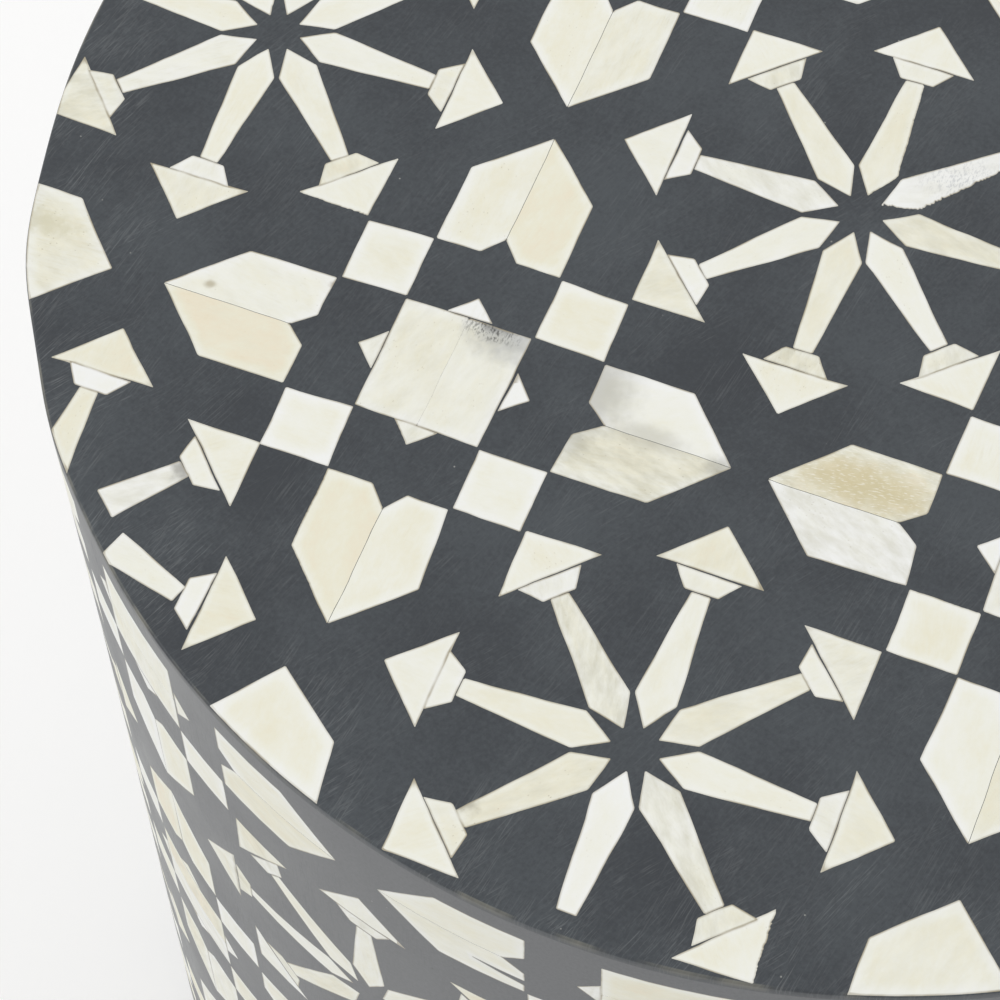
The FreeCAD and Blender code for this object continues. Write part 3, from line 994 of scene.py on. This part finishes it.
def bone_material():
    """Sanded bone: ivory of many tones, paler at its edges, with fibres, stains, pores and a darker border
    that is partly a brown sawn edge and partly painted shade.
    """
    mat = Recipe("bone", Specular_IOR_Level=0.5)
    shades = mat.node("ShaderNodeAttribute", attribute_name="bone").outputs
    parts = mat.node("ShaderNodeSeparateColor", {0: shades["Color"]}).outputs
    tone, grey, streaks, pores = parts[0], parts[1], parts[2], shades["Alpha"]
    edge = mat.mark("edge")
    grain = mat.node("ShaderNodeUVMap", uv_map="grain").outputs["UV"]
    fibres = mat.noise(grain, (0.14, 1.6, 1), 3.0, 0.6)
    bands = mat.noise(grain, (0.12, 0.30, 1), 5.0, 0.62, turn=0.35)
    clouds = mat.noise(grain, (0.08, 0.14, 1), move=(40, 90, 0))
    mottle = mat.noise(grain, (0.5, 0.8, 1), 4.0, 0.6, move=(70, 20, 0))
    shade = mat.plus(tone, mat.swing(clouds, 0.56))
    shade = mat.plus(shade, mat.swing(mottle, 0.30))
    shade = mat.plus(shade, mat.times(mat.swing(fibres, 0.40), streaks))
    shade = mat.math("SUBTRACT", shade, mat.span(edge, 0.0, BROAD_BAND, 0.30, 0.0))
    colour = mat.ramp(shade, BONE_TONES)
    colour = mat.tint(colour, mat.times(grey, mat.span(bands, 0.30, 0.74)), 0.70, GREY_BONE)
    lines = mat.plus(mat.times(bands, 0.5), mat.times(fibres, 0.5))
    stain = mat.times(mat.span(lines, 0.52, 0.68), streaks)
    colour = mat.tint(colour, stain, 0.26, STREAKED_BONE)
    holes = mat.dots(mat.stretch(grain, (0.8, 1.5, 1)), 1.0, 0.24, 0.25)
    holes = mat.times(mat.times(holes, pores), mat.span(clouds, 0.42, 0.58))
    colour = mat.tint(colour, holes, 0.45, OPEN_PORE)
    for stain in SMUDGES:
        colour = smudge(mat, colour, *stain)
    threads = mat.noise(grain, (0.6, 2.8, 1), move=(15, 55, 0))
    threads = mat.times(mat.span(threads, 0.54, 0.66), mat.span(streaks, 0.75, 1.0))
    colour = mat.tint(colour, threads, 0.6, PALE_FLECK)
    # Each piece's open border is darkened: partly its brown sawn edge, partly painted shade
    sawn_and_shade = mat.span(edge, 0.0, EDGE_BAND, 1.0, 0.0)
    sawn_and_shade = mat.times(sawn_and_shade, mat.span(clouds, 0.3, 0.7, 0.3, 0.9))
    colour = mat.mix(sawn_and_shade, colour, SAWN_EDGE_AND_SHADE)
    rough = mat.span(fibres, 0.2, 0.8, 0.36, 0.52)
    height = mat.math("SUBTRACT", fibres, holes)
    return mat.finish(colour, rough, height, BONE_RELIEF)


def smudge(mat, colour, place, reach, tint, share, ragged, spotted=False):
    """A soft stain at one place, with a ragged edge or broken up into open pores."""
    away = mat.vector("SUBTRACT", mat.place(), (place[0] * MM, place[1] * MM, HEIGHT * MM))[0]
    away = mat.vector("MULTIPLY", away, (1 / reach[0] / MM, 1 / reach[1] / MM, SMUDGE_FALL))[0]
    apart = mat.vector("LENGTH", away)["Value"]
    uneven = mat.noise(mat.place(), 420.0, 3.0)
    apart = mat.plus(apart, mat.swing(uneven, ragged))
    flagged = mat.mark("stained")
    stain = mat.times(mat.span(apart, 0.2, 1.0, 1.0, 0.0), mat.times(flagged, share))
    if spotted:
        spots = mat.noise(mat.place(), (2300, 900, 900), 3.0, 0.6)
        stain = mat.times(stain, mat.span(spots, 0.47, 0.62))
    return mat.mix(stain, colour, tint)


def resin_material(name, base, pale, scratched):
    """Poured charcoal resin: blotched, with sanding scratches, dust, pits and a worn rim."""
    mat = Recipe(name, Specular_IOR_Level=0.5)
    place = mat.place()
    blotch = mat.noise(place, 24.0, 5.0, 0.62)
    grit = mat.noise(place, 1100.0, 3.0, 0.6)
    shade = mat.plus(mat.times(blotch, 0.6), mat.times(grit, 0.4))
    colour = mat.mix(mat.span(shade, 0.34, 0.66), base, pale)
    marks = None
    for turn, across, along, least in SCRATCHES:
        lines = mat.noise(place, (across, along, along), 1.5, turn=turn)
        lines = mat.span(lines, least, least + 0.14)
        bundle = mat.noise(place, (70, 26, 26), 3.0, turn=turn, move=(3 * turn, 0, 0))
        lines = mat.times(lines, mat.span(bundle, 0.40, 0.72))
        marks = lines if marks is None else mat.math("MAXIMUM", marks, lines)
    out = mat.vector("LENGTH", mat.vector("MULTIPLY", place, (1, 1, 0))[0])["Value"]
    harder = mat.span(out, RADIUS * MM * 0.80, RADIUS * MM * 0.99, 0.072 * scratched, 0.20 * scratched)
    colour = mat.tint(colour, marks, harder, SCRATCH)
    colour = mat.tint(colour, mat.dots(place, 230.0, 0.065, 0.06), 0.5, DUST)
    pits = mat.dots(mat.stretch(place, (1, 1, 1), 0.0, (0.3, 0.7, 0)), 75.0, 0.055, 0.12)
    colour = mat.tint(colour, pits, 0.6, PIT)
    worn = mat.times(mat.mark("rim"), mat.span(mat.noise(place, 70.0, 4.0), 0.42, 0.66))
    colour = mat.tint(colour, worn, 0.55, WORN_RIM)
    rough = mat.plus(mat.span(blotch, 0.3, 0.7, 0.30, 0.40), mat.times(marks, 0.10))
    height = mat.plus(mat.times(grit, 0.3), marks)
    return mat.finish(colour, rough, height, RESIN_RELIEF)


def wood_material(name, light, dark, along):
    """Plain timber with its grain along the given stretch."""
    mat = Recipe(name, Specular_IOR_Level=0.35)
    place = mat.place()
    rings = mat.noise(place, along, 4.0, 0.6)
    pores = mat.noise(place, tuple(5 * value for value in along))
    grain = mat.plus(mat.times(rings, 0.75), mat.times(pores, 0.25))
    colour = mat.mix(mat.span(grain, 0.32, 0.68), light, dark)
    return mat.finish(colour, mat.span(pores, 0.3, 0.7, 0.55, 0.75), grain, WOOD_RELIEF)


def steel_material():
    mat = Recipe("screw steel", Metallic=1.0)
    brushed = mat.noise(mat.place(), (400, 400, 4000))
    return mat.finish(mat.mix(brushed, *STEEL), mat.span(brushed, 0.3, 0.7, 0.28, 0.42))


def nylon_material():
    mat = Recipe("glide nylon", Specular_IOR_Level=0.45)
    mottle = mat.noise(mat.place(), 300.0, 3.0)
    return mat.finish(mat.mix(mottle, *NYLON), mat.span(mottle, 0.3, 0.7, 0.42, 0.55), mottle, NYLON_RELIEF)


def seen_rays(tree):
    """One for rays that show the background, straight on or in gloss or glass, and zero for light."""
    path = tree.nodes.new("ShaderNodeLightPath").outputs
    seen = path["Is Camera Ray"]
    for name in ("Is Glossy Ray", "Is Transmission Ray"):
        most = tree.nodes.new("ShaderNodeMath")
        most.operation = "MAXIMUM"
        tree.links.new(seen, most.inputs[0])
        tree.links.new(path[name], most.inputs[1])
        seen = most.outputs[0]
    return seen


def floor_material():
    """A pale floor, lifted to near white where it is seen. It keeps its shadows."""
    mat = Recipe("floor", Specular_IOR_Level=0.2, Emission_Color=(1, 1, 1, 1))
    seen = seen_rays(mat.tree)
    mottle = mat.noise(mat.place(), 3.0, 2.0)
    colour = mat.mix(seen, mat.mix(mottle, *FLOOR), SEEN_FLOOR)
    mat.finish(colour, mat.span(mottle, 0.3, 0.7, 0.85, 0.95))
    mat.feed(mat.shader.inputs["Emission Strength"], mat.times(seen, FLOOR_LIFT))
    return mat.material


# Building the dressed table

def dress(piece, *nodes, slot):
    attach(piece, "root")
    if nodes:
        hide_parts(*nodes)


def build_sheet(prefix, pieces, points, cells, ground, place, bone, resin, backs):
    """The bone pieces of one sheet, an object for each kind, and the resin round them."""
    for kind in sorted({kind for kind, outline, style in pieces}):
        chosen = [k for k, piece in enumerate(pieces) if piece[0] == kind and cells[k]]
        name = f"{prefix}_{kind}"
        made = bone_object(
            f"{name}_bone", [pieces[k] for k in chosen], points, [cells[k] for k in chosen], place, bone)
        dress(made, *([name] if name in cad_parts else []), slot="bone")
    made = ground_object(f"{prefix}_resin_ground", points, ground, cells, place, resin, backs)
    dress(made, f"{prefix}_resin", slot="resin")


def build_top(bone, resin):
    pieces = top_pieces()
    outlines = [outline for kind, outline, style in pieces]
    ways = [2 * pi * k / RIM_STEPS for k in range(RIM_STEPS)]
    rings = [[polar(RADIUS - ring, way) for way in ways] for ring in RIM_RINGS]
    points, cells, ground = partition(outlines, inner_loops(pieces) + rings, [])
    build_sheet("top", pieces, points, cells, ground, on_top, bone, resin, disc_back)


def build_wall(bone, resin):
    pieces = wall_pieces()
    outlines = [[to_ring(*point) for point in outline] for kind, outline, style in pieces]
    loops = [[to_ring(*point) for point in loop] for loop in inner_loops(pieces)]
    rounds = [GIRTH * k / WALL_STEPS for k in range(WALL_STEPS)]
    ends = [[to_ring(around, end) for around in rounds] for end in (WALL_FOOT, WALL_HEAD)]
    spokes = list(zip(*ends))
    points, cells, ground = partition(outlines, loops + ends, spokes)
    foot = RING_START + WALL_FOOT
    inner = foot * cos(pi / WALL_STEPS) - RING_SLACK
    ground = [
        triangle for triangle in ground
        if max(hypot(*points[n]) for n in triangle) > foot + RING_TOUCH
        and hypot(*middle([points[n] for n in triangle])) > inner
    ]
    *cells, ground = ([triangle[::-1] for triangle in group] for group in (*cells, ground))
    unrolled = [from_ring(*point) for point in points]
    build_sheet("wall", pieces, unrolled, cells, ground, on_wall, bone, resin, sleeve_back)


def paint_kept_nodes():
    paints = {
        ("wall_stave", "batten"): wood_material("stave wood", *STAVE_WOOD, (60, 60, 5)),
        ("top_board", "base_board"): wood_material("board", *BOARD_WOOD, (70, 8, 70)),
        "base_screws": steel_material(),
        "glides": nylon_material(),
    }
    for name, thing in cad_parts.items():
        for starts, material in paints.items():
            if name.startswith(starts):
                thing.data.materials.clear()
                thing.data.materials.append(material)


# Studio

def build_floor():
    bpy.ops.mesh.primitive_plane_add(size=FLOOR_SIZE, location=(0, 0, -FLOOR_DROP))
    plane = bpy.context.object
    plane.name = "floor"
    plane.data.materials.append(floor_material())


def build_light():
    world = bpy.data.worlds.new("studio")
    bpy.context.scene.world = world
    world.use_nodes = True
    tree = world.node_tree
    tree.nodes.clear()
    lights = []
    for colour, strength in SEEN_WORLD, SOFT_WORLD:
        light = tree.nodes.new("ShaderNodeBackground")
        light.inputs["Color"].default_value = colour
        light.inputs["Strength"].default_value = strength
        lights.append(light.outputs[0])
    mix = tree.nodes.new("ShaderNodeMixShader")
    output = tree.nodes.new("ShaderNodeOutputWorld")
    tree.links.new(seen_rays(tree), mix.inputs["Fac"])
    tree.links.new(lights[1], mix.inputs[1])
    tree.links.new(lights[0], mix.inputs[2])
    tree.links.new(mix.outputs[0], output.inputs["Surface"])
    for name, place, width, power in LAMPS:
        lamp = bpy.data.lights.new(name, "AREA")
        lamp.shape = "SQUARE"
        lamp.size = width
        lamp.energy = power
        thing = bpy.data.objects.new(name, lamp)
        thing.location = place
        aim = Vector((0, 0, HEIGHT * MM)) - thing.location
        thing.rotation_euler = aim.to_track_quat("-Z", "Y").to_euler()
        bpy.context.scene.collection.objects.link(thing)


def build_camera():
    """A close view from above the front, a little to the right."""
    reach = RADIUS * MM
    head = Vector((0, 0, HEIGHT * MM))
    stand = Vector(CAMERA_STAND) * reach + head
    target = Vector(CAMERA_TARGET) * reach + head
    forward = (target - stand).normalized()
    right = forward.cross(Vector((0, 0, 1))).normalized()
    up = right.cross(forward)
    side = right * cos(CAMERA_ROLL) + up * sin(CAMERA_ROLL)
    top = up * cos(CAMERA_ROLL) - right * sin(CAMERA_ROLL)
    lens = bpy.data.cameras.new("camera")
    lens.sensor_width = SENSOR
    lens.lens = LENS
    camera = bpy.data.objects.new("camera", lens)
    camera.matrix_world = Matrix.Translation(stand) @ Matrix((side, top, -forward)).transposed().to_4x4()
    bpy.context.scene.collection.objects.link(camera)
    bpy.context.scene.camera = camera


bone = bone_material()
build_top(bone, resin_material("top resin", *TOP_RESIN, 1.0))
# The wall's resin colours are paler than the top's: painted light
build_wall(bone, resin_material("wall resin painted light", *WALL_RESIN_PAINTED_LIGHT, 0.35))
paint_kept_nodes()
build_floor()
build_light()
build_camera()
bpy.context.scene.view_settings.view_transform = "Standard"
